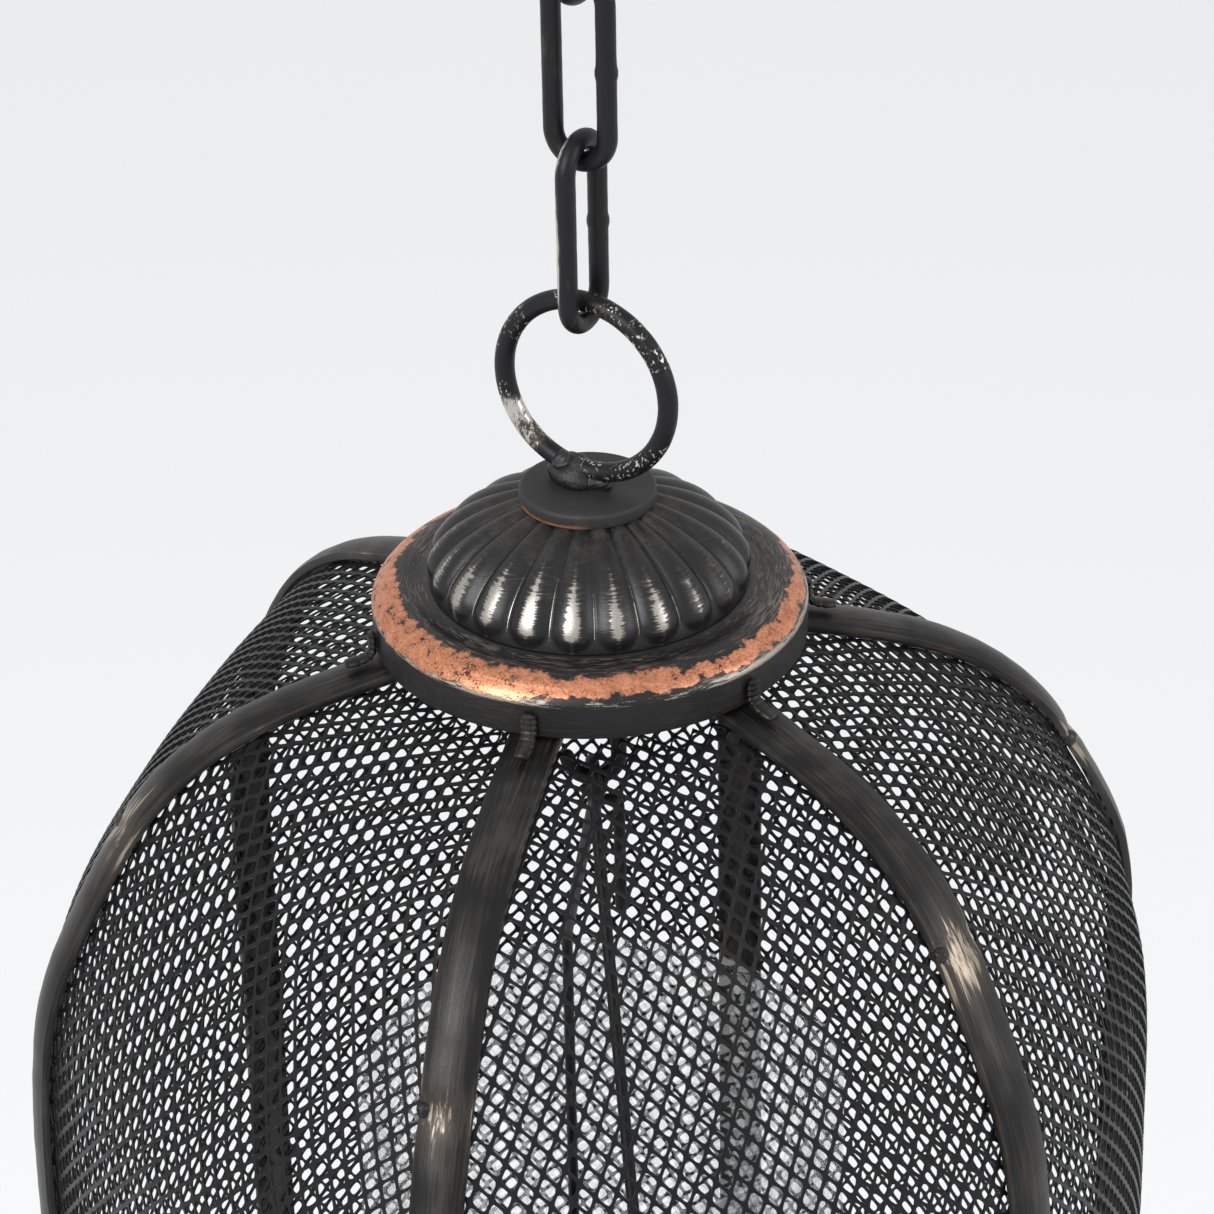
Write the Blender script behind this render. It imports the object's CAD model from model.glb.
import math
import bpy
import numpy as np
from mathutils import Matrix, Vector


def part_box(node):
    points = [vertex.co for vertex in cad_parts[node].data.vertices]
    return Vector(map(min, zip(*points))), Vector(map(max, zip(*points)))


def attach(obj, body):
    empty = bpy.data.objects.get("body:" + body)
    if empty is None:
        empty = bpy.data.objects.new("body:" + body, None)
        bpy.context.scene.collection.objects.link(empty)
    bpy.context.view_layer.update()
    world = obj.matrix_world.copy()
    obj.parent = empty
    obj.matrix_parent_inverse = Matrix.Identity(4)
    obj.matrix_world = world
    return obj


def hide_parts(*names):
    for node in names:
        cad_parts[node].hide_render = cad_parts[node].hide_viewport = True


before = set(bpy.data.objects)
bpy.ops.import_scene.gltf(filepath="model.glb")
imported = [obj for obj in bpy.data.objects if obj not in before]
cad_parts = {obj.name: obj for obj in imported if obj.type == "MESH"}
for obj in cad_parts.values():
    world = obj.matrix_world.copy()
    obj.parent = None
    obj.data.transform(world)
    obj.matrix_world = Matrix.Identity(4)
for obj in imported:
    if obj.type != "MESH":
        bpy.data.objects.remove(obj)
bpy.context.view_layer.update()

# ---- Hook and chain ------------------------------------------------------------------------------
# A bent steel hook and four long butt-welded links, each hanging crosswise on the next. Steel wire,
# dipped in black paint and rubbed back by hand, so that bare metal shows in streaks along the wire.

MM = 0.001
CAP_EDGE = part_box("cap_rim")[0].z + 0.8 * MM


class Value:
    """A shader socket in an expression: each operator adds one Math node to the finish's tree."""

    def __init__(self, finish, socket):
        self.finish = finish
        self.socket = socket

    def math(self, operation, first, second=0.0):
        return self.finish.math(operation, first, second)

    def __add__(self, other):
        return self.math("ADD", self, other)

    def __sub__(self, other):
        return self.math("SUBTRACT", self, other)

    def __rsub__(self, other):
        return self.math("SUBTRACT", other, self)

    def __mul__(self, other):
        return self.math("MULTIPLY", self, other)

    def __truediv__(self, other):
        return self.math("DIVIDE", self, other)

    def __pow__(self, other):
        return self.math("POWER", self, other)

    def size(self):
        return self.math("ABSOLUTE", self)

    def parts(self):
        """The three numbers of a vector."""
        return [self.finish.node("ShaderNodeSeparateXYZ", inputs={0: self}, output=axis) for axis in range(3)]

    __radd__ = __add__
    __rmul__ = __mul__


class Finish:
    """A procedural material. Sizes are in millimetres, and patterns lie on Object coordinates."""

    def __init__(self, name):
        self.material = bpy.data.materials.new(name)
        self.material.use_nodes = True
        self.tree = self.material.node_tree
        self.tree.nodes.clear()
        self.place = self.node("ShaderNodeTexCoord", output="Object")

    def node(self, kind, settings=None, inputs=None, output=0):
        """Adds any node: its settings first, then the values or links of its sockets."""
        made = self.tree.nodes.new(kind)
        for key, setting in (settings or {}).items():
            setattr(made, key, setting)
        for key, value in (inputs or {}).items():
            if isinstance(value, Value):
                self.tree.links.new(value.socket, made.inputs[key])
            else:
                made.inputs[key].default_value = value
        return Value(self, made.outputs[output])

    def math(self, operation, first, second=0.0):
        return self.node("ShaderNodeMath", {"operation": operation}, {0: first, 1: second})

    def attribute(self, name):
        """The vector that a piece's mesh holds for each point under that name."""
        return self.node("ShaderNodeAttribute", {"attribute_name": name}, output="Vector")

    def radius(self):
        """The distance from the lantern's axis in millimetres."""
        x, y, _ = self.place.parts()
        return (x * x + y * y) ** 0.5 / MM

    def lay(self):
        """Where a point is on the unbent piece: across it, out of it and along it, in metres."""
        return self.attribute("lay")

    def noise(self, size, stretch=(1, 1, 1), detail=3.0, at=None, shift=0.0):
        """Noise about 0.5, in blobs about size mm across, drawn out along each axis by stretch."""
        scale = [1 / (size * MM * longer) for longer in stretch]
        where = self.node("ShaderNodeMapping", inputs={"Vector": at or self.place, "Scale": scale,
                                                       "Location": (shift, shift, shift)})
        return self.node("ShaderNodeTexNoise", inputs={"Vector": where, "Scale": 1.0, "Detail": detail,
                                                       "Roughness": 0.6})

    def step(self, value, low, high):
        """0 at low, 1 at high and a smooth step between them; low may be the larger."""
        return self.node("ShaderNodeMapRange", {"interpolation_type": "SMOOTHSTEP"},
                         {"Value": value, "From Min": low, "From Max": high})

    def mix(self, share, first, second):
        """A colour between two colours."""
        inputs = {0: share}
        for key, colour in ((6, first), (7, second)):
            inputs[key] = colour if isinstance(colour, Value) else (*colour, 1.0)
        return self.node("ShaderNodeMix", {"data_type": "RGBA"}, inputs, 2)

    def blend(self, share, first, second):
        """A number between two numbers."""
        return first + share * (second - first)

    def surface(self, colour, metallic, roughness, height=None, depth=0.1, **fixed):
        """Joins the maps to a Principled shader; depth is the bump's height in millimetres."""
        inputs = {"Metallic": metallic, "Roughness": roughness}
        inputs["Base Color"] = colour if isinstance(colour, Value) else (*colour, 1.0)
        if height is not None:
            inputs["Normal"] = self.node("ShaderNodeBump", inputs={"Height": height, "Distance": depth * MM,
                                                                   "Strength": 1.0})
        for key, value in fixed.items():
            inputs[key.replace("_", " ")] = value
        shader = self.node("ShaderNodeBsdfPrincipled", inputs=inputs)
        output = self.tree.nodes.new("ShaderNodeOutputMaterial")
        self.tree.links.new(shader.socket, output.inputs["Surface"])
        return self


PAINT = (0.0065, 0.0065, 0.0075)
DULL = 0.26
DUSTY = (0.075, 0.062, 0.050)
STEEL = (0.56, 0.53, 0.49)


def rubbed_iron(name, wear, streaks=(1, 1, 8), rough=0.42, flecks=False, rubbed=None):
    """Black paint on iron. Where the sum of a broad and a streaky noise passes a level the paint thins
    to a dusty brown, and past a higher one bare steel shows; wear lowers both levels, and rubbed is a
    function that gives a mask of more wear."""
    finish = Finish(name)
    broad = finish.noise(9, detail=2)
    streak = finish.noise(0.5, streaks, detail=4, shift=3.0)
    fine = finish.noise(0.35, detail=4)
    amount = broad * 0.62 + streak * 0.38
    if rubbed:
        amount = amount + rubbed(finish) * 0.30
    level = 0.74 - 0.3 * wear
    thin = finish.step(amount - level, -0.06, 0.06)
    bare = finish.step(amount - level, 0.05, 0.14)
    if flecks:
        speck = finish.step(finish.noise(0.5, (1, 1, 1.6), detail=2, shift=7.0), 0.58, 0.63)
        patch = finish.step(finish.noise(6, detail=1, shift=5.0), 0.50, 0.60)
        bare = finish.math("MAXIMUM", bare, speck * patch)
    dull = finish.mix(thin * 0.75, PAINT, DUSTY)
    colour = finish.mix(bare, dull, STEEL)
    roughness = finish.blend(bare, rough, 0.30) + (fine - 0.5) * 0.16
    height = fine * 0.5 + streak * 0.3 + broad - bare * 0.5
    return finish.surface(colour, thin * 0.35 + bare * 0.55, roughness, height, 0.05, Specular_IOR_Level=DULL)


def wobble(along, waves, seed):
    """A smooth wavering line between about -1 and 1: a sum of sines of rising pitch and seeded phase."""
    phases = np.random.default_rng(seed).uniform(0, 2 * np.pi, len(waves))
    return sum(np.sin(along * wave + phase) for wave, phase in zip(waves, phases)) / len(waves)


def grid(rows, columns, rows_close=False, columns_close=False):
    """Four corners of each cell of a grid of points counted row by row. A closed way joins its ends."""
    row, column = np.meshgrid(np.arange(rows - (not rows_close)), np.arange(columns - (not columns_close)),
                              indexing="ij")
    above, right = (row + 1) % rows, (column + 1) % columns
    corners = [row * columns + column, row * columns + right, above * columns + right,
               above * columns + column]
    return np.stack(corners, -1).reshape(-1, 4)


def arc(centre, radius, first, last, step=0.5):
    """Points of a circle's arc between two angles in degrees, about step mm apart."""
    count = max(4, int(abs(last - first) / 360 * 2 * np.pi * radius / step))
    angle = np.radians(np.linspace(first, last, count + 1))
    return np.stack([centre[0] + radius * np.cos(angle), centre[1] + radius * np.sin(angle)], -1)


def straight(first, last, step=0.8):
    """Points of a straight line, about step mm apart."""
    first, last = np.asarray(first, float), np.asarray(last, float)
    count = max(1, int(np.linalg.norm(last - first) / step))
    return first + (last - first) * np.linspace(0, 1, count + 1)[:, None]


def joined(*runs):
    """Runs of points end to end, with no point twice."""
    points = np.concatenate(runs)
    keep = np.r_[True, np.linalg.norm(np.diff(points, axis=0), axis=1) > 1e-4]
    return points[keep]


def lengths(points):
    """The distance along a line of points up to each of them."""
    return np.r_[0.0, np.cumsum(np.linalg.norm(np.diff(points, axis=0), axis=1))]


def upright(points, turn):
    """Points (across, height) put in the vertical plane whose across way is turned from +X, in degrees."""
    way = np.array([math.cos(math.radians(turn)), math.sin(math.radians(turn)), 0.0])
    return points[:, :1] * way + points[:, 1:] * np.array([0.0, 0.0, 1.0])


def swept(path, sideways, section, closed=False, grow=None):
    """A section carried along a line that lies in one plane. At each point the section's first number
    counts sideways, square to the plane, and its second along sideways x tangent; grow scales it."""
    if closed:
        tangent = np.roll(path, -1, 0) - np.roll(path, 1, 0)
    else:
        tangent = np.gradient(path, axis=0)
    tangent /= np.linalg.norm(tangent, axis=1)[:, None]
    outward = np.cross(sideways, tangent)
    grow = np.ones(len(path)) if grow is None else grow
    section = np.broadcast_to(section, (len(path), *np.shape(section)[-2:])) * grow[:, None, None]
    points = path[:, None] + section[..., :1] * sideways + section[..., 1:] * outward[:, None]
    along = np.broadcast_to(lengths(path)[:, None, None], (*section.shape[:2], 1))
    lay = np.concatenate([section, along], -1)
    rows, columns = section.shape[:2]
    faces = [grid(rows, columns, closed, True)]
    if not closed:
        faces.append(np.stack([np.arange(columns)[::-1], (rows - 1) * columns + np.arange(columns)]))
    return points.reshape(-1, 3), faces, lay.reshape(-1, 3)


def round_section(diameter, count=20):
    """A circle of points."""
    angle = np.linspace(0, 2 * np.pi, count, endpoint=False)
    return np.stack([np.cos(angle), np.sin(angle)], -1) * diameter / 2


def round_ends(path, radius):
    """A line with short ends added for a domed tip, and the growth of the section along it: at a share
    t of a quarter turn past the end the tip reaches sin t of the radius and is cos t as wide."""
    turn = np.radians([0, 30, 55, 75, 88])
    first = (path[0] - path[1]) / np.linalg.norm(path[0] - path[1])
    last = (path[-1] - path[-2]) / np.linalg.norm(path[-1] - path[-2])
    before = path[0] + first * radius * (np.sin(turn[::-1]) - 1)[:, None]
    after = path[-1] + last * radius * (np.sin(turn) - 1)[:, None]
    inside = lengths(path)
    keep = (inside > radius * 1.02) & (inside < inside[-1] - radius * 1.02)
    line = np.concatenate([before, path[keep], after])
    return line, np.concatenate([np.cos(turn[::-1]), np.ones(keep.sum()), np.cos(turn)])


def outwards(points, faces):
    """The faces, turned round if the closed shell's volume comes out negative. The volume is a sixth of
    the sum of the triple products of each triangle's corners."""
    volume = 0.0
    for block in faces:
        for corner in range(1, block.shape[1] - 1):
            a, b, c = points[block[:, 0]], points[block[:, corner]], points[block[:, corner + 1]]
            volume += np.einsum("ij,ij->", a, np.cross(b, c))
    return [block[:, ::-1] for block in faces] if volume < 0 else faces


def piece(name, parts, finish, body, nodes=(), sharp=38.0, data=None):
    """One mesh object from closed shells, each with its points in millimetres from the cap's edge, its
    blocks of faces and the lay of its points, made to ride on a body and to stand for CAD nodes."""
    points = np.concatenate([part[0] for part in parts])
    lay = np.concatenate([part[2] for part in parts])
    corners, sizes, start = [], [], 0
    for part in parts:
        for block in outwards(part[0], part[1]):
            corners.append((block + start).ravel())
            sizes.append(np.full(len(block), block.shape[1]))
        start += len(part[0])
    corners, sizes = np.concatenate(corners), np.concatenate(sizes)
    mesh = bpy.data.meshes.new(name)
    mesh.vertices.add(len(points))
    mesh.vertices.foreach_set("co", (points * MM + [0, 0, CAP_EDGE]).astype(np.float32).ravel())
    mesh.loops.add(len(corners))
    mesh.loops.foreach_set("vertex_index", corners.astype(np.int32))
    mesh.polygons.add(len(sizes))
    mesh.polygons.foreach_set("loop_start", np.r_[0, np.cumsum(sizes)[:-1]].astype(np.int32))
    maps = {"lay": lay * MM, **(data or {})}
    for key, values in maps.items():
        attribute = mesh.attributes.new(key, "FLOAT_VECTOR", "POINT")
        attribute.data.foreach_set("vector", values.astype(np.float32).ravel())
    mesh.update(calc_edges=True)
    mesh.validate()
    mesh.shade_smooth()
    mesh.set_sharp_from_angle(angle=math.radians(sharp))
    mesh.materials.append(finish.material)
    made = bpy.data.objects.new(name, mesh)
    bpy.context.scene.collection.objects.link(made)
    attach(made, body)
    if nodes:
        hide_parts(*nodes)
    return made


WIRE = 3.0
LINK_LENGTH = 32.0
LINK_WIDTH = 12.0
LINK_COUNT = 4
LINK_WELD_LENGTH = 0.75
LINK_WELD_SWELL = 0.17
WIRE_WAVER = 0.012
PLAY = 0.3
CHAIN_TURN = -31.0
HOOK_WIRE = 3.2
HOOK_EYE_R = 6.0
HOOK_CROOK_R = 9.0
RING_R = 14.05
RING_Z = 40.1
RING_WIRE = 3.05


def worn_leg(finish):
    """The front left leg of the lowest link, on its left face."""
    across, _, _ = finish.lay().parts()
    x, _, z = finish.place.parts()
    tall = finish.step(z, link_low[0] * MM + CAP_EDGE, (link_low[0] + 8) * MM + CAP_EDGE)
    return finish.step(across, 0.0, 0.9 * MM) * finish.step(x, -0.8 * MM, -2.0 * MM) * tall


ALONG_LINK = (1, 1, 14)
chain_iron = rubbed_iron("chain_iron", 0.30, ALONG_LINK, rough=0.42)
hook_iron = rubbed_iron("hook_iron", 0.30, (1, 1, 10))
pitch = LINK_LENGTH - WIRE
link_low = [RING_Z + RING_R - (RING_WIRE + WIRE) / 2 - PLAY]
while len(link_low) < LINK_COUNT:
    link_low.append(link_low[-1] + pitch - WIRE - PLAY)

for number, low in enumerate(link_low, start=1):
    turn = CHAIN_TURN + 90 * (number % 2)
    half = (LINK_WIDTH - WIRE) / 2
    high = low + pitch
    bow_high, bow_low = (0, high - half), (0, low + half)
    route = joined(straight((half, low + half), (half, high - half)), arc(bow_high, half, 0, 180),
                   straight((-half, high - half), (-half, low + half)), arc(bow_low, half, 180, 360))[:-1]
    weld_at = low + half + (pitch - 2 * half) * 0.5
    bulge = np.exp(-((route[:, 1] - weld_at) / LINK_WELD_LENGTH) ** 2) * (route[:, 0] > 0)
    waver = WIRE_WAVER * wobble(lengths(route), (0.6, 1.1, 1.9), number)
    side = np.array([-math.sin(math.radians(turn)), math.cos(math.radians(turn)), 0.0])
    grow = 1 + LINK_WELD_SWELL * bulge + waver
    link = swept(upright(route, turn), side, round_section(WIRE, 24), True, grow)
    finish = chain_iron
    if number == 1:
        finish = rubbed_iron("worn_link_iron", 0.30, ALONG_LINK, 0.42, rubbed=worn_leg)
    piece(f"link_{number}", [link], finish, f"link_{number}", [f"chain_link_{number}"])

hook_low = link_low[-1] + pitch - (WIRE + HOOK_WIRE) / 2 - PLAY
eye_z = hook_low + HOOK_EYE_R
crook_z = eye_z + HOOK_EYE_R + HOOK_CROOK_R
route = joined(arc((0, eye_z), HOOK_EYE_R, 150, 450), arc((0, crook_z), HOOK_CROOK_R, 270, -10))
route, grow = round_ends(upright(route, CHAIN_TURN + 90), HOOK_WIRE / 2)
side = np.array([-math.cos(math.radians(CHAIN_TURN)), -math.sin(math.radians(CHAIN_TURN)), 0.0])
piece("wire_hook", [swept(route, side, round_section(HOOK_WIRE, 24), grow=grow)], hook_iron, "hook",
      ["top_hook"])

# ---- Ring and its weld ---------------------------------------------------------------------------
# A closed ring of steel wire that stands upright on the crown disc, held by a dab of weld at one side
# of its lowest point. The paint is chipped in small bright flecks and rubbed bare at the lower left.


def worn_arc(finish):
    """The lower left part of the ring; its length is counted from its lowest point."""
    _, _, along = finish.lay().parts()
    return finish.step(along, 69 * MM, 73 * MM) * finish.step(along, 84 * MM, 79 * MM)


ring_iron = rubbed_iron("ring_iron", 0.31, (1, 1, 3), 0.42, flecks=True, rubbed=worn_arc)
circle = arc((0, RING_Z), RING_R, -90, 270, 0.6)[:-1]
side = np.array([-math.sin(math.radians(CHAIN_TURN)), math.cos(math.radians(CHAIN_TURN)), 0.0])
waver = 1 + WIRE_WAVER * wobble(lengths(circle), (0.3, 0.7, 1.5), 11)
ring = swept(upright(circle, CHAIN_TURN), side, round_section(RING_WIRE, 24), True, waver)
piece("ring", [ring], ring_iron, "lantern", ["hanging_ring"])


def lump(centre, reach, seed, rows=40, columns=56, roughness=0.1):
    """A blob of weld: an ellipsoid whose radius swells and shrinks by sines of its two angles."""
    tilt = np.linspace(0, np.pi, rows + 2)[1:-1, None]
    turn = np.linspace(0, 2 * np.pi, columns, endpoint=False)[None]
    ball = np.stack([np.sin(tilt) * np.cos(turn), np.sin(tilt) * np.sin(turn),
                     np.cos(tilt) * np.ones_like(turn)], -1)
    ball = np.concatenate([[[0, 0, 1.0]], ball.reshape(-1, 3), [[0, 0, -1.0]]])
    rng = np.random.default_rng(seed)
    swell = np.zeros(len(ball))
    for wave in range(14):
        way = rng.normal(size=3)
        swell += np.sin(ball @ way * (1.4 + wave * 0.55) + rng.uniform(0, 6.28)) / (1 + 0.35 * wave)
    points = ball * (1 + roughness * swell[:, None] / 2.2) * np.asarray(reach) + np.asarray(centre)
    rings = grid(rows, columns, False, True) + 1
    ends = np.arange(columns)
    after = (ends + 1) % columns
    top = np.stack([np.zeros(columns, int), 1 + after, 1 + ends], -1)
    last = len(ball) - 1
    bottom = np.stack([np.full(columns, last), last - columns + ends, last - columns + after], -1)
    return points, [rings[:, ::-1], top[:, ::-1], bottom[:, ::-1]], points


def turned(points, degrees):
    """Points turned about the lantern's axis."""
    angle = math.radians(degrees)
    cosine, sine = math.cos(angle), math.sin(angle)
    return points @ np.array([[cosine, sine, 0], [-sine, cosine, 0], [0, 0, 1]])


weld_iron = Finish("weld_iron")
crust = weld_iron.noise(0.7, detail=5)
spark = weld_iron.step(weld_iron.noise(0.3, detail=1, shift=2.0), 0.70, 0.74)
weld_iron.surface(weld_iron.mix(spark * 0.7, PAINT, DUSTY), spark * 0.4,
                  weld_iron.blend(crust, 0.55, 0.25), crust, 0.25)
dabs = []
for centre, reach, seed in (((-2.3, 0, 24.9), (3.9, 2.9, 2.9), 3), ((1.2, 0.2, 24.3), (2.7, 2.0, 1.9), 5),
                            ((-3.9, -0.6, 26.7), (1.7, 1.6, 1.7), 8)):
    points, faces, _ = lump(centre, reach, seed)
    points = turned(points, CHAIN_TURN)
    dabs.append((points, faces, points))
piece("weld_dab", dabs, weld_iron, "lantern", ["ring_weld"], sharp=180)

# ---- Crown disc ----------------------------------------------------------------------------------
# A thick round plate on top of the dome that the ring is welded to. Matt black, with the paint rubbed
# to brown along its lower edge at the front left.


def lathe(profile, count, closed=True):
    """A line of radii and heights turned about the axis. A closed line makes a ring; an open one starts
    and ends on the axis, where the points of the first and last rows meet in one."""
    turn = np.linspace(0, 2 * np.pi, count, endpoint=False)
    ways = np.stack([np.cos(turn), np.sin(turn), np.zeros(count)], -1)
    profile = np.asarray(profile, float)
    middle = profile if closed else profile[1:-1]
    points = middle[:, None, :1] * ways[None] + middle[:, None, 1:] * np.array([0, 0, 1.0])
    points = points.reshape(-1, 3)
    faces = [grid(len(middle), count, closed, True)]
    if not closed:
        ends = np.arange(count)
        after = (ends + 1) % count
        start, last = len(points), (len(middle) - 1) * count
        points = np.concatenate([points, [[0, 0, profile[0, 1]], [0, 0, profile[-1, 1]]]])
        faces.append(np.stack([np.full(count, start), after, ends], -1))
        faces.append(np.stack([np.full(count, start + 1), last + ends, last + after], -1))
    return points, faces, points


DISC_R = 10.4
DISC_TOP = 23.8
DISC_THICK = 2.4

disc_iron = Finish("disc_iron")
radius = disc_iron.radius()
right_way, back_way, height = disc_iron.place.parts()
grit = disc_iron.noise(0.5, detail=5)
blotch = disc_iron.noise(5, detail=2)
lower = disc_iron.step(height, CAP_EDGE + (DISC_TOP - 1.3) * MM, CAP_EDGE + (DISC_TOP - 2.1) * MM)
front_left = disc_iron.step(right_way, 1 * MM, -3 * MM) * disc_iron.step(back_way, 0.0, -4 * MM)
rusty = disc_iron.step(blotch * 0.6 + grit * 0.4 + lower * 0.22, 0.58, 0.72) * lower * front_left
rubbed = disc_iron.step(radius, DISC_R - 1.2, DISC_R) * disc_iron.step(blotch + grit * 0.4, 0.7, 1.0)
colour = disc_iron.mix(rubbed * 0.35, (0.0135, 0.013, 0.013), DUSTY)
colour = disc_iron.mix(rusty, colour, (0.28, 0.12, 0.06))
disc_iron.surface(colour, rusty * 0.5, disc_iron.blend(grit, 0.5, 0.72), grit + blotch, 0.08)
edge = arc((DISC_R - 0.7, DISC_TOP - 0.7), 0.7, 90, 0, 0.15)
foot = arc((DISC_R - 0.3, DISC_TOP - DISC_THICK + 0.3), 0.3, 0, -90, 0.15)
profile = joined(straight((0, DISC_TOP - 0.15), (DISC_R - 2.2, DISC_TOP - 0.1)), edge, foot,
                 straight((DISC_R - 1, DISC_TOP - DISC_THICK), (0, DISC_TOP - DISC_THICK), 1.5))
piece("disc", [lathe(profile, 144, False)], disc_iron, "lantern", ["crown_disc"])

# ---- Fluted dome ---------------------------------------------------------------------------------
# A dome pressed from sheet steel, with cushion-shaped flutes that run from the disc to rounded ends.
# Black paint, rubbed through to brushed metal on the lower ends of the front flutes' crowns.

FLUTES = 22
FLUTE_AT = -90 + 9.7
SHEET = 0.9
DOME_FOOT = (24.3, 8.3)
DOME_HEAD = (8.4, 21.5)
FLUTE_RISE = 1.25
RUBBED_AT = -112


def bezier(points, count):
    """A cubic through the first and last of four points, pulled towards the middle two."""
    t = np.linspace(0, 1, count)[:, None]
    a, b, c, d = (np.asarray(p, float) for p in points)
    return a * (1 - t) ** 3 + 3 * b * t * (1 - t) ** 2 + 3 * c * t * t * (1 - t) + d * t ** 3


def normals_of(line):
    """Unit ways square to a line of radii and heights, pointing away from the axis and up."""
    along = np.gradient(line, axis=0)
    along /= np.linalg.norm(along, axis=1)[:, None]
    return np.stack([along[:, 1], -along[:, 0]], -1)


dome_line = bezier([DOME_FOOT, (23.3, 14.7), (17.2, 18.5), DOME_HEAD], 64)
dome_out = normals_of(dome_line)
dome_along = lengths(dome_line)
columns = FLUTES * 18
turn = np.linspace(0, 2 * np.pi, columns, endpoint=False)
phase = ((turn - math.radians(FLUTE_AT)) * FLUTES / (2 * np.pi) + 0.5) % 1 * 2 - 1
half_width = np.pi * dome_line[:, 0] / FLUTES
end = np.clip(1 - (dome_along - 0.3) / (half_width * 1.1), 0, 1)
cushion = np.clip(1 - phase[None] ** 2 - end[:, None] ** 2, 0, 1) ** 0.95
fade = 1 - 0.45 * (dome_along / dome_along[-1])[:, None]
rise = FLUTE_RISE * cushion * fade
ways = np.stack([np.cos(turn), np.sin(turn)], -1)


def dome_shell(lift):
    """The dome's points at a height over its line: along the line's own outward way, at each turn."""
    reach = dome_line[:, :1] + dome_out[:, :1] * lift
    level = dome_line[:, 1:] + dome_out[:, 1:] * lift
    return np.stack([reach * ways[:, 0], reach * ways[:, 1], level * np.ones(columns)], -1)


outer, inner = dome_shell(rise), dome_shell(rise * 0.9 - SHEET)
points = np.concatenate([outer, inner[::-1]])
rows = len(points)
share = np.broadcast_to((dome_along / dome_along[-1])[:, None], rise.shape)
front = (0.5 + 0.5 * np.cos(turn - math.radians(RUBBED_AT))) ** 2.6
marks = np.stack([np.broadcast_to(phase, rise.shape), share, np.broadcast_to(front, rise.shape)], -1)
flute = np.concatenate([marks, marks[::-1]]).reshape(-1, 3)

dome_iron = Finish("dome_iron")
across, up, front = dome_iron.attribute("flute").parts()
brush = dome_iron.noise(0.20, (12, 12, 1), detail=4)
blotch = dome_iron.noise(2.6, (1, 1, 2), detail=3, shift=4.0)
around = dome_iron.noise(11, (1, 1, 2.5), detail=1, shift=9.0)
grit = dome_iron.noise(0.4, detail=4, shift=1.0)
crown = dome_iron.step(across.size(), 0.60, 0.16)
patch = crown * dome_iron.step(up, 0.06, 0.14) * dome_iron.step(up, 0.60, 0.20) * (front * 0.82 + 0.10)
ridge_line = dome_iron.step(across.size(), 0.20, 0.02) * dome_iron.step(up, 0.85, 0.45) * (front * 0.4 + 0.2)
worn = patch + ridge_line * 0.5 + (brush - 0.5) * 1.5 + (blotch - 0.5) * 0.6 + (around - 0.5) * 0.7
bare = dome_iron.step(worn, 0.50, 0.82)
thin = dome_iron.step(worn, 0.18, 0.52)
dusty = dome_iron.step(up, 0.35, 0.95) * dome_iron.step(blotch * 0.6 + grit * 0.4, 0.40, 0.64)
colour = dome_iron.mix(thin * 0.5, PAINT, DUSTY)
colour = dome_iron.mix(dusty * 0.6, colour, (0.05, 0.041, 0.032))
colour = dome_iron.mix(bare * 0.85, colour, (0.50, 0.47, 0.43))
roughness = dome_iron.blend(bare, 0.34, 0.36) + (grit - 0.5) * 0.18 + dusty * 0.25
dome_iron.surface(colour, bare * 0.9 + thin * 0.1, roughness, grit * 0.5 + brush * 0.6 - bare * 0.3, 0.05,
                  Specular_IOR_Level=0.4)
piece("dome", [(points.reshape(-1, 3), [grid(rows, columns, True, True)], points.reshape(-1, 3))], dome_iron,
      "lantern", ["fluted_dome"], data={"flute": flute}, sharp=60)

# ---- Cap rim -------------------------------------------------------------------------------------
# A spun steel rim under the dome: a groove, a rolled flange with a copper wash rubbed on by hand, and
# an upright black skirt that the ribs are tucked under.

CAP_R = 33.3
SKIRT_LOW = -0.8
RIDGE_Z = 4.9

rim_out = joined(np.array([(22.6, 8.2), (24.4, 8.2)]),
                 bezier([(24.6, 8.2), (25.4, 7.75), (26.3, 7.7), (27.2, 7.9)], 12),
                 bezier([(27.3, 7.93), (28.6, 8.3), (30.4, 7.9), (31.6, 6.9)], 22),
                 bezier([(31.7, 6.8), (32.4, 6.2), (33.0, 5.7), (CAP_R, RIDGE_Z - 0.1)], 16),
                 straight((CAP_R, RIDGE_Z - 0.3), (CAP_R, SKIRT_LOW + 0.25), 0.6))
rim_in = joined(arc((CAP_R - 0.25, SKIRT_LOW + 0.25), 0.25, 0, -90, 0.1),
                straight((CAP_R - SHEET, SKIRT_LOW), (CAP_R - SHEET, 4.2), 0.8),
                bezier([(CAP_R - SHEET, 4.3), (31.6, 6.4), (29.6, 7.0), (27.0, 6.9)], 14),
                np.array([(24.8, 6.9), (22.6, 7.2)]))

rim_copper = Finish("rim_copper")
radius = rim_copper.radius()
axes = rim_copper.place.parts()
level = (axes[2] - CAP_EDGE) / MM
round_place = rim_copper.node("ShaderNodeCombineXYZ", inputs={0: axes[0] * 0.06, 1: axes[1] * 0.06,
                                                              2: radius * MM + axes[2]})
scratch = rim_copper.noise(0.16, detail=3, at=round_place)
ragged = rim_copper.noise(1.3, (1.6, 1.6, 1), detail=5)
broad = rim_copper.noise(13, detail=1, shift=2.0)
grit = rim_copper.noise(0.35, detail=4, shift=8.0)
left = rim_copper.step(axes[0], 0.004, -0.026)
narrow = rim_copper.step(axes[0], 0.008, 0.027) * 1.3 + rim_copper.step(axes[1], -0.004, 0.016) * 1.1
inner_reach = radius + (ragged - 0.5) * 5.0 + (broad - 0.5) * 3.4 + left * 0.5 - narrow
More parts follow.
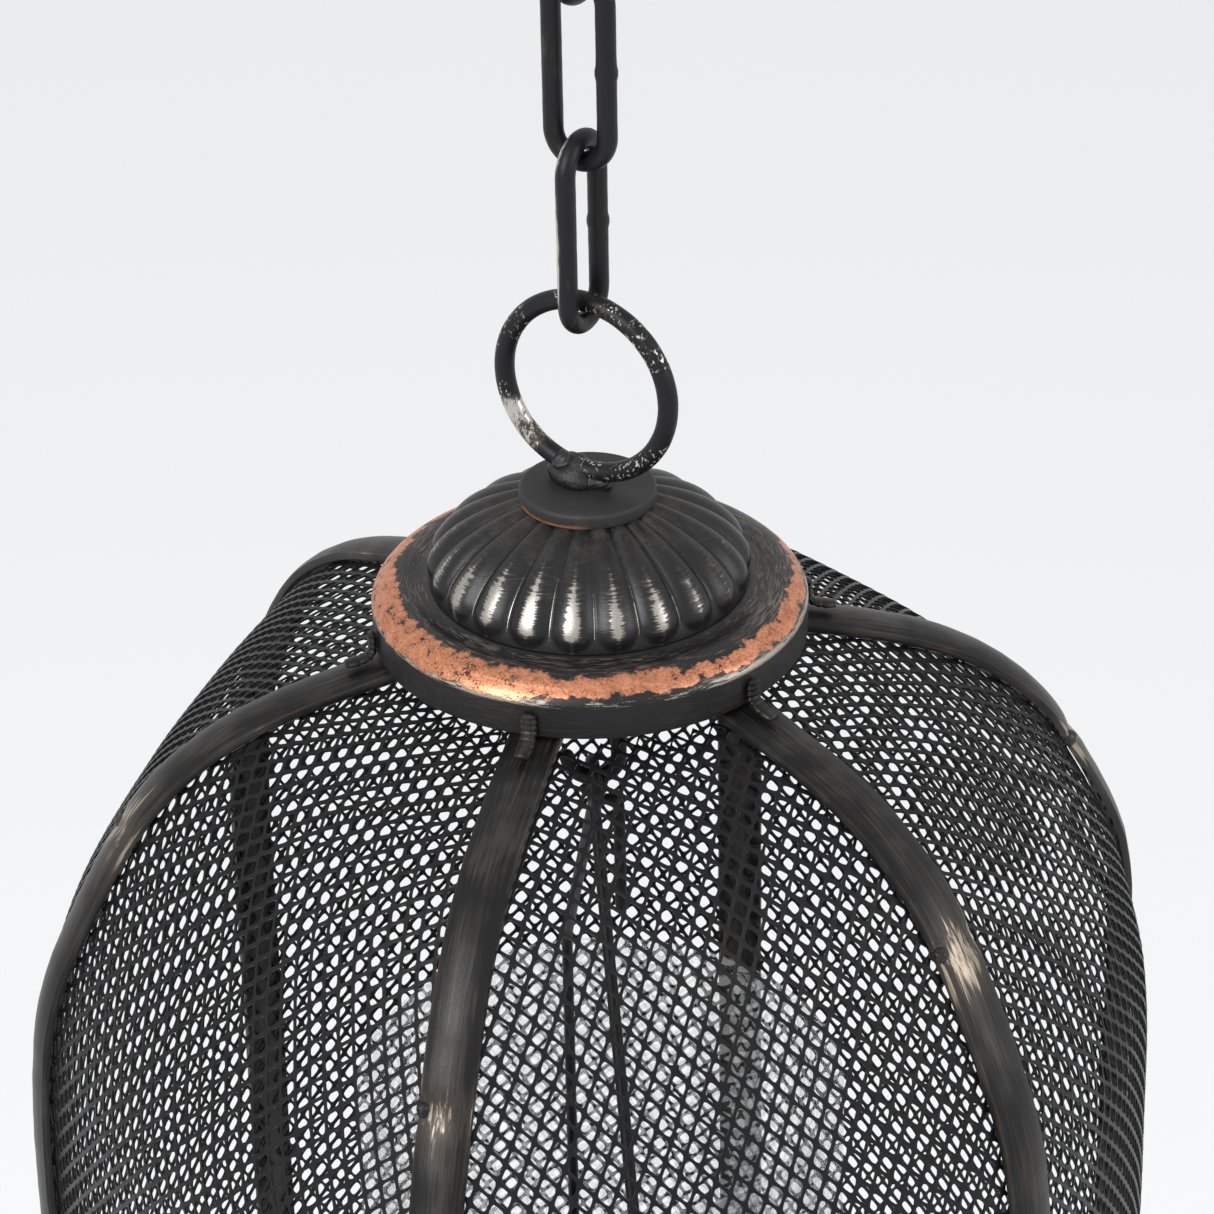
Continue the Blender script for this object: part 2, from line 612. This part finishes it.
inner_edge = rim_copper.step(inner_reach, 29.5, 30.1)
outer_edge = rim_copper.step(level + (ragged - 0.5) * 3.2 + left * 0.9 + (broad - 0.5), 5.6, 6.0)
patchy = rim_copper.step(ragged * 0.65 + grit * 0.35 - left * 0.035, 0.37, 0.43)
copper = inner_edge * outer_edge * patchy
scraped = (rim_copper.step(scratch * 0.75 + broad * 0.25, 0.51, 0.60) * rim_copper.step(radius, 24.6, 25.6)
           * (rim_copper.step(level, 4.0, 5.2) * 0.85 + 0.15))
worn_line = (rim_copper.step(level, 4.3, 4.75) * rim_copper.step(level, 5.7, 5.15)
             * rim_copper.step(scratch * 0.6 + broad * 0.5 + grit * 0.2, 0.58, 0.70))
colour = rim_copper.mix(scraped * 0.7, (0.0075, 0.0073, 0.0075), (0.15, 0.12, 0.094))
colour = rim_copper.mix(worn_line * 0.9, colour, (0.45, 0.40, 0.34))
mottle = rim_copper.step(ragged * 0.5 + grit * 0.5, 0.35, 0.65)
tone = rim_copper.mix(mottle, (0.36, 0.125, 0.064), (0.74, 0.33, 0.19))
colour = rim_copper.mix(copper, colour, tone)
roughness = rim_copper.blend(copper, 0.40, 0.36) + (grit - 0.5) * 0.2
rim_copper.surface(colour, copper * 0.85 + worn_line * 0.6, roughness,
                   grit * 0.6 + scratch * 0.5 + copper, 0.045, Specular_IOR_Level=0.4)
rim = lathe(joined(rim_out, rim_in), 288)
piece("rim", [rim], rim_copper, "lantern", ["cap_rim"], sharp=30)

# ---- Under the cap -------------------------------------------------------------------------------
# A flat steel ring that the ribs are welded to, a strip across it, and the J-shaped wire hook for the
# candle cradle. Plain black paint inside, little worn.

inner_iron = rubbed_iron("inner_iron", 0.12, (2, 2, 1), rough=0.5)
for name in ("rib_collar", "hook_plate"):
    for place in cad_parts[name].material_slots:
        place.material = inner_iron.material

JHOOK_WIRE = 2.5
JHOOK_R = 4.0
JHOOK_BOWL = -24.6
route = joined(straight((JHOOK_R, 0.7), (JHOOK_R, JHOOK_BOWL)), arc((0, JHOOK_BOWL), JHOOK_R, 360, 165, 0.4))
route, grow = round_ends(upright(route, 0), JHOOK_WIRE / 2)
piece("wire_j", [swept(route, np.array([0, 1.0, 0]), round_section(JHOOK_WIRE), grow=grow)], inner_iron,
      "lantern", ["j_hook"])

# ---- Ribs ----------------------------------------------------------------------------------------
# Six bent strips with a crowned outer face, welded under the cap and unevenly spaced; one leans. Each
# has a dent with a lump of weld at its bend. Painted black and rubbed in streaks along the strip.

RIB_TURNS = [-16.0, 44.7, 99.0, 163.0, 222.0, 284.0]
RIB_LEANS = [0.0, 0.0, 6.0, 0.0, 0.0, 0.0]
LEAN_FROM, LEAN_TO = 35.0, 105.0
KINKS = [62.5, 51.0, 56.0, 60.0, 62.5, 51.0]
KINK_LENGTH = 2.2
KINK_DEPTH = 0.45
RUB_LENGTH = 7.0
HAMMER_DEPTH = 0.10
WIDTH_WAVER = 0.022
RIB_WIDTH = 8.0
RIB_THICK = 2.4
RIB_CROWN = 0.9
RIB_LINE = [(29.5, -0.95), (45.0, -4.6), (58.5, -9.8), (72.0, -20.8), (81.0, -35.4), (88.6, -52.0),
            (92.0, -74.0), (92.5, -110.0), (93.0, -160.0), (93.4, -204.0)]


def smooth_line(points, step):
    """A natural cubic spline by chord length: the second derivatives solve the usual three-term rows, and
    the line is then walked in equal steps."""
    points = np.asarray(points, float)
    at = lengths(points)
    gap = np.diff(at)
    rows = np.eye(len(points))
    rise = np.zeros_like(points)
    for k in range(1, len(points) - 1):
        rows[k, k - 1:k + 2] = gap[k - 1], 2 * (gap[k - 1] + gap[k]), gap[k]
        rise[k] = 6 * ((points[k + 1] - points[k]) / gap[k] - (points[k] - points[k - 1]) / gap[k - 1])
    bend = np.linalg.solve(rows, rise)
    t = np.linspace(0, at[-1], 4000)
    k = np.clip(np.searchsorted(at, t, side="right") - 1, 0, len(gap) - 1)
    a, b, h = (at[k + 1] - t)[:, None], (t - at[k])[:, None], gap[k][:, None]
    line = (bend[k] * a ** 3 + bend[k + 1] * b ** 3) / (6 * h)
    line += (points[k] / h - bend[k] * h / 6) * a + (points[k + 1] / h - bend[k + 1] * h / 6) * b
    walked = lengths(line)
    even = np.linspace(0, walked[-1], int(walked[-1] / step) + 1)
    return np.stack([np.interp(even, walked, line[:, axis]) for axis in (0, 1)], -1)


def inset(line, depth):
    """A line of radii and heights moved square to itself, towards the axis and down."""
    along = np.gradient(line, axis=0)
    along /= np.linalg.norm(along, axis=1)[:, None]
    return line + np.stack([along[:, 1], -along[:, 0]], -1) * depth


def rib_turn(number, down):
    """A rib's turn from the front at a distance down its line: a leaning rib's grows smoothly."""
    share = np.clip((down - LEAN_FROM) / (LEAN_TO - LEAN_FROM), 0, 1)
    return RIB_TURNS[number] + RIB_LEANS[number] * share * share * (3 - 2 * share)


def rib_section():
    """Half the strip's outline mirrored: a flat back, a short side and a crown that falls by the square
    of the distance from the middle."""
    half = RIB_WIDTH / 2
    x = np.array([half * 0.97, 3.2, 2.4, 1.6, 0.8, 0.0])
    crown = np.stack([x, RIB_THICK - RIB_CROWN * (x / half) ** 2], -1)
    right = np.concatenate([[(half - 0.35, 0.0), (half, 0.35), (half, 1.1)], crown])
    return np.concatenate([right, (right * [-1, 1])[-2::-1]])


rib_iron = Finish("rib_iron")
lay = rib_iron.lay()
side_way, out_way, _ = lay.parts()
kink, _, _ = rib_iron.attribute("kink").parts()
streak = rib_iron.noise(0.42, (1, 1, 24), detail=4, at=lay)
fine_streak = rib_iron.noise(0.16, (1, 1, 40), detail=3, at=lay, shift=2.0)
patch = rib_iron.noise(7, (1.2, 1, 4), detail=2, shift=6.0)
grit = rib_iron.noise(0.45, detail=4)
middle = rib_iron.step(side_way.size() / MM, 4.2, 0.6)
edges = rib_iron.step(side_way.size() / MM, 3.3, 3.9) * rib_iron.step(out_way / MM, 0.4, 1.2)
worn = middle * 0.16 + edges * 0.20 + kink * 0.30 + (streak - 0.5) * 0.75 + (patch - 0.5) * 0.85
thin = rib_iron.step(worn, 0.02, 0.42)
bare = rib_iron.step(worn, 0.40, 0.56)
colour = rib_iron.mix(thin * (0.35 + fine_streak * 0.7), (0.0058, 0.0058, 0.0064), (0.060, 0.050, 0.041))
colour = rib_iron.mix(bare * 0.75, colour, (0.46, 0.38, 0.30))
roughness = rib_iron.blend(bare, 0.36, 0.34) + (grit - 0.5) * 0.16 + (fine_streak - 0.5) * 0.12
rib_iron.surface(colour, thin * 0.2 + bare * 0.5, roughness,
                 grit * 0.4 + streak * 0.5 + fine_streak * 0.4 - bare * 0.3, 0.05, Specular_IOR_Level=DULL)

outer_line = smooth_line(RIB_LINE, 1.2)
rib_line = inset(outer_line, RIB_THICK)
rib_walk = lengths(rib_line)
section = rib_section()
for number in range(len(RIB_TURNS)):
    uneven = wobble(rib_walk, (0.09, 0.17, 0.31, 0.55), 21 + number)[:, None, None]
    hammered = wobble(rib_walk, (0.23, 0.41, 0.73), 41 + number)[:, None]
    at_kink = np.exp(-((rib_walk - KINKS[number]) / KINK_LENGTH) ** 2)[:, None]
    shape = section[None] * (1 + WIDTH_WAVER * uneven)
    outer_side = section[:, 1] > 1
    shape[..., 1] -= (HAMMER_DEPTH * np.abs(hammered) + KINK_DEPTH * at_kink) * outer_side
    points, faces, lay = swept(upright(rib_line, -90), np.array([-1.0, 0, 0]), shape)
    spot = np.array([np.interp(KINKS[number], rib_walk, rib_line[:, axis]) for axis in (0, 1)])
    dab_at = (-RIB_WIDTH / 2 + 0.9, -spot[0] - 0.5, spot[1] + 0.5)
    dab, dab_faces, _ = lump(dab_at, (1.3, 1.5, 1.3), 70 + number)
    lean = np.radians(rib_turn(number, np.r_[lay[:, 2], np.full(len(dab), KINKS[number])]))
    x, y, z = np.concatenate([points, dab]).T
    spun = np.stack([x * np.cos(lean) - y * np.sin(lean), x * np.sin(lean) + y * np.cos(lean), z], -1)
    near = np.r_[np.exp(-((lay[:, 2] - KINKS[number]) / RUB_LENGTH) ** 2), np.full(len(dab), 0.6)]
    count = len(points)
    parts = [(spun[:count], faces, lay), (spun[count:], dab_faces, dab)]
    piece(f"strip_{number + 1}", parts, rib_iron, "lantern", [f"rib_{number + 1}"],
          data={"kink": np.repeat(near[:, None], 3, 1)})

# ---- Rib tabs ------------------------------------------------------------------------------------
# A short ribbed clip at the head of each rib, which comes out from under the skirt and is bent up
# against it.

TAB_WIDTH = 2.4
tab_in = CAP_R + 0.75
tab_foot = [(tab_in, 0.7), (CAP_R + 0.9, -0.6), (CAP_R + 2.0, -1.2), (CAP_R + 5.2, -1.5)]
tab_line = joined(straight((tab_in, 3.4), (tab_in, 0.8), 0.3), bezier(tab_foot, 14))
tab_section = round_section(1.25, 16) * [TAB_WIDTH / 1.25, 1]
for number, turn in enumerate(RIB_TURNS, start=1):
    line, grow = round_ends(upright(tab_line, turn - 90), 0.6)
    grow = grow * (1 + 0.13 * np.sin(lengths(line) * 6.5))
    sideways = np.array([math.cos(math.radians(turn)), math.sin(math.radians(turn)), 0.0])
    clip = swept(line, -sideways, tab_section, grow=grow)
    piece(f"clip_{number}", [clip], rib_iron, "lantern", [f"rib_tab_{number}"])

# ---- Mesh panels ---------------------------------------------------------------------------------
# Six panels of expanded metal behind the ribs. One sheet is slit and pulled open, so its strands cross
# in a diamond lattice and each strand lies a little tilted. Thin matt black paint.

MESH_SHORT = 3.25
MESH_LONG = 4.65
MESH_THICK = 0.34
OPEN_ACROSS = 1.18
OPEN_ALONG = 1.56
OPEN_ROUND = 1.48
STRAND_TILT = 0.10
PANEL_DEPTH = 2.8
PANEL_FLAT = 0.75
PANEL_FLAT_Z = -17.0
PANEL_FLAT_FADE = 54.0
PANEL_FLAT_LEAST = 0.12
PANEL_ROUND_Z = -180.0
PANEL_ROUND_FADE = 30.0
PANEL_RIPPLE = 0.16
PANEL_MARGIN = 1.9
MARGIN_TOP, MARGIN_FOOT = 2.6, 3.4
MESH_LEAN = [8.4, 5.0, -6.0, 7.0, 6.0, -8.5]

mesh_iron = Finish("mesh_iron")
grit = mesh_iron.noise(0.5, detail=3)
cloud = mesh_iron.noise(14, detail=2, shift=3.0)
rub = mesh_iron.step(cloud * 0.7 + grit * 0.3, 0.56, 0.68)
mesh_iron.surface(mesh_iron.mix(rub * 0.35, (0.0045, 0.0045, 0.0052), (0.030, 0.026, 0.022)), rub * 0.2,
                  mesh_iron.blend(grit, 0.34, 0.48), grit, 0.03, Specular_IOR_Level=DULL)

panel_line = inset(outer_line, PANEL_DEPTH)
panel_walk = lengths(panel_line)
panel_out = normals_of(panel_line[::-1])[::-1]


def panel_turns(first, down):
    """Half the turn between two ribs and the middle between them, in radians, at a distance down."""
    last = (first + 1) % len(RIB_TURNS)
    start, end = rib_turn(first, down), rib_turn(last, down) + 360 * (last == 0)
    return np.radians(end - start) / 2, np.radians(end + start) / 2


def panel_place(across, down, lift, first):
    """A point of a panel from its distance across from the panel's middle, its distance down the rib's
    line and its height over the sheet. The turn is across / radius. Near the top the sheet follows the
    chord between the ribs' edges, cos(bowed) / cos(turn) of the radius, and in the wall the circle."""
    radius = np.interp(down, panel_walk, panel_line[:, 0])
    height = np.interp(down, panel_walk, panel_line[:, 1])
    out_r = np.interp(down, panel_walk, panel_out[:, 0])
    out_z = np.interp(down, panel_walk, panel_out[:, 1])
    half, middle = panel_turns(first, down)
    turn = across / radius
    flat = PANEL_FLAT * np.clip(1 + (height - PANEL_FLAT_Z) / PANEL_FLAT_FADE, 0, 1)
    rounded = np.clip((height - PANEL_ROUND_Z) / PANEL_ROUND_FADE, 0, 1)
    flat = np.maximum(flat, PANEL_FLAT_LEAST * rounded)
    bowed = half - RIB_WIDTH / 2 / radius
    reach = radius + (radius * np.cos(bowed) / np.cos(np.clip(turn, -bowed, bowed)) - radius) * flat
    phase = np.random.default_rng(61 + first).uniform(0, 6.28, 4)
    ripple = (np.sin(across * 0.11 + phase[0]) * np.sin(down * 0.083 + phase[1])
              + 0.5 * np.sin(across * 0.23 + phase[2]) * np.sin(down * 0.19 + phase[3]))
    lift = lift + PANEL_RIPPLE * ripple * np.cos(turn / half * np.pi / 2)
    azimuth = middle + turn
    reach = reach + out_r * lift
    return np.stack([reach * np.sin(azimuth), -reach * np.cos(azimuth), height + out_z * lift], -1)


def expanded_sheet(first, lean):
    """Diamond cells in a leaning lattice, kept where they lie inside the panel. Each cell is a rhombus
    with a twelve-point rounded opening, front and back, with walls in the opening and at free edges."""
    reach = int(150 / MESH_SHORT) * 2
    p, q = np.meshgrid(np.arange(-reach, reach + 1), np.arange(-reach, reach + 1), indexing="ij")
    even = (p + q) % 2 == 0
    cells = np.stack([p[even], q[even]], -1)
    cosine, sine = math.cos(math.radians(lean)), math.sin(math.radians(lean))
    middle = np.array([panel_walk[-1] / 2, 0.0]) + np.random.default_rng(61 + first).uniform(-1, 1, 2)

    def on_sheet(short, long):
        """Sheet distances from the lattice's own, turned by the lean."""
        return short * cosine + long * sine + middle[1], -short * sine + long * cosine + middle[0]

    across, down = on_sheet(cells[:, 0] * MESH_SHORT / 2, cells[:, 1] * MESH_LONG / 2)
    width = np.interp(down, panel_walk, panel_line[:, 0]) * panel_turns(first, down)[0]
    inside = (np.abs(across) < width - PANEL_MARGIN) & (down > MARGIN_TOP)
    cells = cells[inside & (down < panel_walk[-1] - MARGIN_FOOT)]
    count = len(cells)
    ways = np.array([(0, -1), (1, 0), (0, 1), (-1, 0)])
    knots = (cells[:, None] + ways[None]).reshape(-1, 2)
    knot, which = np.unique(knots, axis=0, return_inverse=True)
    corner = which.reshape(count, 4)
    twelfth = np.radians((np.arange(4)[:, None] * 90 + np.array([-90, -62, -28])).ravel())
    cos, sin = np.cos(twelfth).round(9), np.sin(twelfth).round(9)
    opening = np.stack([OPEN_ACROSS * np.sign(cos) * np.abs(cos) ** OPEN_ROUND,
                        OPEN_ALONG * np.sign(sin) * np.abs(sin) ** OPEN_ROUND], -1)
    centres = cells * [MESH_SHORT / 2, MESH_LONG / 2]
    hole = centres[:, None] + opening[None]
    tilt = STRAND_TILT * opening[:, 1] / OPEN_ALONG
    flat_points, lifts = [], []
    for side in (1, -1):
        flat_points += [knot * [MESH_SHORT / 2, MESH_LONG / 2], hole.reshape(-1, 2)]
        lifts += [np.full(len(knot), side * MESH_THICK / 2),
                  (side * MESH_THICK / 2 * 0.9 + np.broadcast_to(tilt, (count, 12))).ravel()]
    flat_points, lifts = np.concatenate(flat_points), np.concatenate(lifts)
    across, down = on_sheet(flat_points[:, 0], flat_points[:, 1])
    points = panel_place(across, down, lifts, first)
    back = len(knot) + count * 12
    ring = len(knot) + np.arange(count)[:, None] * 12 + np.arange(12)
    faces, walls = [], []
    for side in range(4):
        a, b = corner[:, side], corner[:, (side + 1) % 4]
        e0, e1, e2, e3 = (ring[:, (side * 3 + step) % 12] for step in range(4))
        faces.append(np.stack([a, b, e3, e2, e1, e0], -1))
        walls.append(np.stack([a, b], -1))
    front = np.concatenate(faces)
    after = np.roll(ring, -1, 1)
    lining = np.stack([ring, after, after + back, ring + back], -1).reshape(-1, 4)
    edges = np.concatenate(walls)
    codes = np.sort(edges, 1) @ [1 << 20, 1]
    _, first_at, times = np.unique(codes, return_index=True, return_counts=True)
    free = edges[first_at[times == 1]]
    rim = np.stack([free[:, 1], free[:, 0], free[:, 0] + back, free[:, 1] + back], -1)
    return points, [front, (front + back)[:, ::-1], lining, rim], np.stack([across, down, lifts], -1)


for number, lean in enumerate(MESH_LEAN):
    sheet = expanded_sheet(number, lean)
    piece(f"expanded_mesh_{number + 1}", [sheet], mesh_iron, "lantern",
          [f"mesh_panel_{number + 1}"], sharp=50)

# ---- Base hoop -----------------------------------------------------------------------------------
# A strip bent into a hoop inside the foot of the ribs, which the ribs and panels are welded to.

HOOP_LOW, HOOP_HIGH = -205.0, -196.0
HOOP_IN, HOOP_OUT = 87.6, 89.2
hoop_iron = rubbed_iron("hoop_iron", 0.42, (8, 8, 1), rough=0.44)


def rounded_ring(inner, outer, low, high, radius, step):
    """The outline of a ring's wall: a rectangle of radii and heights with rounded corners."""
    return joined(arc((outer - radius, high - radius), radius, 90, 0, step),
                  arc((outer - radius, low + radius), radius, 0, -90, step),
                  arc((inner + radius, low + radius), radius, -90, -180, step),
                  arc((inner + radius, high - radius), radius, 180, 90, step))


hoop = rounded_ring(HOOP_IN, HOOP_OUT, HOOP_LOW, HOOP_HIGH, 0.4, 0.15)
piece("hoop", [lathe(hoop, 288)], hoop_iron, "lantern", ["base_hoop"])

# ---- Candle cradle -------------------------------------------------------------------------------
# One length of wire makes the eye on the J-hook and two legs that spread to the glass and run down
# outside it to a tray with a low lip. A thin hoop low on the glass keeps it between the legs.

GLASS_R = 40.0
GLASS_TOP = -86.7
GLASS_LOW = GLASS_TOP - 100.0
BAIL_WIRE = 1.9
TAIL_LENGTH = 19.0
EYE_R = 3.6
LEG_TURN = 97.0
LEG_R = 42.2
eye_top = JHOOK_BOWL - JHOOK_R + (JHOOK_WIRE + BAIL_WIRE) / 2 + PLAY
eye_low = eye_top - 2 * EYE_R
floor_top = GLASS_LOW - PLAY

cradle_wire = rubbed_iron("cradle_wire", 0.2, (1, 1, 8), rough=0.45)
way = np.array([math.cos(math.radians(LEG_TURN)), math.sin(math.radians(LEG_TURN)), 0.0])
square = np.array([-way[1], way[0], 0.0])
eye = arc((0, eye_top - EYE_R), EYE_R, -90, 270, 0.4)[:-1]
wires = [swept(upright(eye, LEG_TURN), square, round_section(BAIL_WIRE), True)]
for side in (-1, 1):
    shoulder = bezier([(side * (LEG_R - 2.2), GLASS_TOP + 2.2), (side * (LEG_R - 0.4), GLASS_TOP - 0.2),
                       (side * LEG_R, GLASS_TOP - 1.0), (side * LEG_R, GLASS_TOP - 5.0)], 14)
    leg = joined(straight((side * 0.3, eye_low), shoulder[0]), shoulder[1:],
                 straight((side * LEG_R, GLASS_TOP - 6), (side * LEG_R, floor_top - 1)))
    line, grow = round_ends(upright(leg, LEG_TURN), BAIL_WIRE / 2)
    wires.append(swept(line, square, round_section(BAIL_WIRE), grow=grow))
piece("bail", wires, cradle_wire, "cradle", ["cradle_bail"])

tail = joined(arc((BAIL_WIRE + 0.6, eye_low - 1.0), 1.5, 150, 20, 0.3)[:-1],
              straight((BAIL_WIRE + 2.0, eye_low - BAIL_WIRE), (4.0, eye_low - BAIL_WIRE - TAIL_LENGTH)))
line, grow = round_ends(upright(tail, 0), BAIL_WIRE / 2)
tail_wire = swept(line, np.array([0, 1.0, 0]), round_section(BAIL_WIRE), grow=grow)
piece("tail", [tail_wire], cradle_wire, "cradle", ["bail_tail"])

cradle_iron = rubbed_iron("cradle_iron", 0.25, (6, 6, 1), rough=0.45)
LIP_IN, LIP_OUT = GLASS_R + 0.4, GLASS_R + 1.2
floor_low = floor_top - 1
dish = joined(straight((0, floor_top), (LIP_IN - 0.8, floor_top), 4),
              arc((LIP_IN - 0.8, floor_top + 0.8), 0.8, -90, 0, 0.3),
              arc(((LIP_IN + LIP_OUT) / 2, floor_top + 5.6), 0.4, 180, 0, 0.15),
              arc((LIP_OUT - 1.2, floor_top + 0.2), 1.2, 0, -90, 0.3),
              straight((LIP_OUT - 3, floor_low), (0, floor_low), 4))
piece("tray", [lathe(dish, 160, False)], cradle_iron, "cradle", ["cradle_tray"])
BAND_LOW, BAND_HIGH = -165.0, -160.0
band = rounded_ring(LIP_IN, LIP_OUT, BAND_LOW, BAND_HIGH, 0.3, 0.1)
piece("band", [lathe(band, 160)], cradle_iron, "cradle", ["cradle_hoop"])

# ---- Glass ---------------------------------------------------------------------------------------
# A clear glass cylinder, open at both ends, with fire-polished rims. It stands loose in the tray.

GLASS_WALL = 3.0
clear_glass = Finish("clear_glass")
clear_glass.surface((0.97, 0.99, 0.98), 0.0, 0.0, IOR=1.12, Transmission_Weight=1.0, Alpha=0.2,
                    Specular_IOR_Level=0.5)
wall = rounded_ring(GLASS_R - GLASS_WALL, GLASS_R, GLASS_LOW, GLASS_TOP, 0.9, 0.2)
piece("glass", [lathe(wall, 192)], clear_glass, "glass", ["glass_cylinder"])

# ---- Room, light and camera ----------------------------------------------------------------------
# A pale floor well below the hanging lantern, a bright even room, and a large soft light from the
# upper left. The camera looks down at the cap from in front.

floor_mesh = bpy.data.meshes.new("floor")
FLOOR_REACH, FLOOR_Z = 14.0, -1.5
corners = [(x * FLOOR_REACH, y * FLOOR_REACH, FLOOR_Z) for x, y in ((-1, -1), (1, -1), (1, 1), (-1, 1))]
floor_mesh.from_pydata(corners, [], [(0, 1, 2, 3)])
floor = bpy.data.objects.new("floor", floor_mesh)
bpy.context.scene.collection.objects.link(floor)
pale = Finish("pale_floor")
pale.surface((0.90, 0.90, 0.905), 0.0, 0.9, Emission_Color=(1.0, 1.0, 1.0, 1.0), Emission_Strength=0.09)
floor_mesh.materials.append(pale.material)

world = bpy.data.worlds.new("room")
world.use_nodes = True
world.node_tree.nodes["Background"].inputs["Color"].default_value = (0.90, 0.905, 0.92, 1)
world.node_tree.nodes["Background"].inputs["Strength"].default_value = 0.85
bpy.context.scene.world = world


def soft_light(name, place, target, size, power):
    """A square lamp that faces a point."""
    lamp = bpy.data.lights.new(name, "AREA")
    lamp.size = size
    lamp.energy = power
    made = bpy.data.objects.new(name, lamp)
    bpy.context.scene.collection.objects.link(made)
    away = np.subtract(place, target)
    away /= np.linalg.norm(away)
    right = np.cross((0, 0, 1.0), away)
    right /= np.linalg.norm(right)
    turn = Matrix(np.stack([right, np.cross(away, right), away], -1).tolist()).to_4x4()
    made.matrix_world = Matrix.Translation(place) @ turn


soft_light("window", (-1.1, -1.3, 0.9), (0, 0, -0.25), 1.2, 34)
soft_light("fill", (1.6, -0.6, 0.5), (0, 0, -0.25), 1.0, 10)

CAMERA_BACK = 0.5476
CAMERA_OVER_CAP = 0.3229
LENS = 123.15
LOOK_DOWN = 30.36
LOOK_RIGHT = 0.27
ROLL = 1.046
down, aside, roll = (math.radians(a) for a in (LOOK_DOWN, LOOK_RIGHT, ROLL))
forward = np.array([math.sin(aside) * math.cos(down), math.cos(aside) * math.cos(down), -math.sin(down)])
right = np.cross(forward, (0, 0, 1.0))
right /= np.linalg.norm(right)
above = np.cross(right, forward)
tilted_right = math.cos(roll) * right - math.sin(roll) * above
tilted_above = math.sin(roll) * right + math.cos(roll) * above
camera_data = bpy.data.cameras.new("camera")
camera_data.lens = LENS
camera_data.sensor_width = 36.0
camera_data.clip_start = 0.01
camera = bpy.data.objects.new("camera", camera_data)
bpy.context.scene.collection.objects.link(camera)
axes = Matrix(np.stack([tilted_right, tilted_above, -forward], -1).tolist()).to_4x4()
camera.matrix_world = Matrix.Translation((0, -CAMERA_BACK, CAP_EDGE + CAMERA_OVER_CAP)) @ axes
bpy.context.scene.camera = camera
bpy.context.scene.view_settings.view_transform = "Standard"
